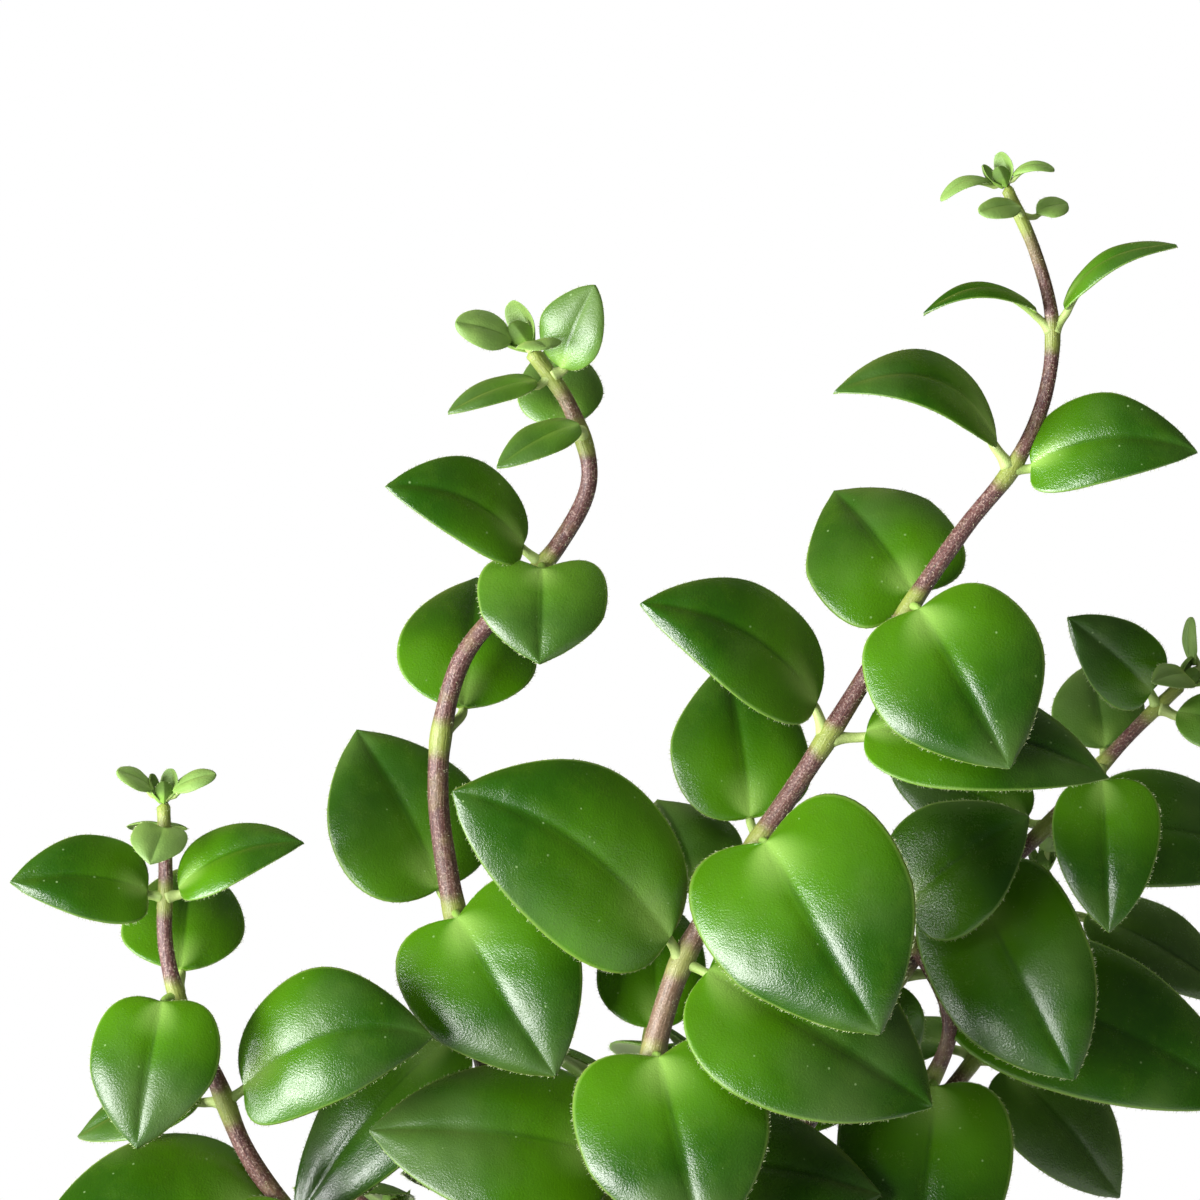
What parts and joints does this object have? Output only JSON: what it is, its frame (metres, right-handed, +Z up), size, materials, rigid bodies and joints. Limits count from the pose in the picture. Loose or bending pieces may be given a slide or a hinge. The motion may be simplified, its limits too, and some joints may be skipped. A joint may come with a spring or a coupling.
{
  "type": "potted lipstick plant",
  "caption": "Lipstick plant with glossy heart-shaped leaves in opposite pairs on arching purple-brown stems, rooted in potting mix in a plain tapered plastic pot.",
  "frame": {"origin": "centre of the pot's foot, on the surface that it stands on", "axes": "+Z up along the pot's axis, +X to the right of the leafy front, +Y to the back"},
  "size_m": [0.2046, 0.1336, 0.2897],
  "materials": {
    "pot_plastic": "matte terracotta-coloured plastic",
    "potting_mix": "damp crumbly peat mix",
    "stem_skin": "satin purple-brown skin with fine pale specks",
    "leaf_skin": "glossy waxy green",
    "young_leaf_skin": "satin pale green"
  },
  "bodies": {
    "root": {"front_left_leaves_1": "leaf_skin", "front_left_leaves_2": "leaf_skin", "front_left_shoot_tip": "young_leaf_skin", "front_left_stem": "stem_skin", "front_right_leaves_1": "leaf_skin", "front_right_shoot_tip": "young_leaf_skin", "front_right_stem": "stem_skin", "inner_leaves_1": "leaf_skin", "inner_leaves_2": "leaf_skin", "inner_shoot_tip": "young_leaf_skin", "inner_stem": "stem_skin", "left_leaves_1": "leaf_skin", "left_leaves_2": "leaf_skin", "left_leaves_3": "leaf_skin", "left_leaves_4": "leaf_skin", "left_leaves_5": "leaf_skin", "left_shoot_tip": "young_leaf_skin", "left_stem": "stem_skin", "middle_leaves_1": "leaf_skin", "middle_leaves_2": "leaf_skin", "middle_leaves_3": "leaf_skin", "middle_leaves_4": "leaf_skin", "middle_leaves_5": "leaf_skin", "middle_leaves_6": "leaf_skin", "middle_leaves_7": "leaf_skin", "middle_shoot_tip": "young_leaf_skin", "middle_stem": "stem_skin", "pot": "pot_plastic", "potting_mix": "potting_mix", "rear_leaves_1": "leaf_skin", "rear_leaves_2": "leaf_skin", "rear_left_leaves_1": "leaf_skin", "rear_left_leaves_2": "leaf_skin", "rear_left_shoot_tip": "young_leaf_skin", "rear_left_stem": "stem_skin", "rear_right_leaves_1": "leaf_skin", "rear_right_leaves_2": "leaf_skin", "rear_right_shoot_tip": "young_leaf_skin", "rear_right_stem": "stem_skin", "rear_shoot_tip": "young_leaf_skin", "rear_stem": "stem_skin", "right_leaves_1": "leaf_skin", "right_leaves_2": "leaf_skin", "right_leaves_3": "leaf_skin", "right_leaves_4": "leaf_skin", "right_leaves_5": "leaf_skin", "right_shoot_tip": "young_leaf_skin", "right_stem": "stem_skin", "tall_leaves_1": "leaf_skin", "tall_leaves_10": "leaf_skin", "tall_leaves_2": "leaf_skin", "tall_leaves_3": "leaf_skin", "tall_leaves_4": "leaf_skin", "tall_leaves_5": "leaf_skin", "tall_leaves_6": "leaf_skin", "tall_leaves_7": "leaf_skin", "tall_leaves_8": "leaf_skin", "tall_leaves_9": "leaf_skin", "tall_shoot_tip": "young_leaf_skin", "tall_stem": "stem_skin"}
  },
  "joints": []
}
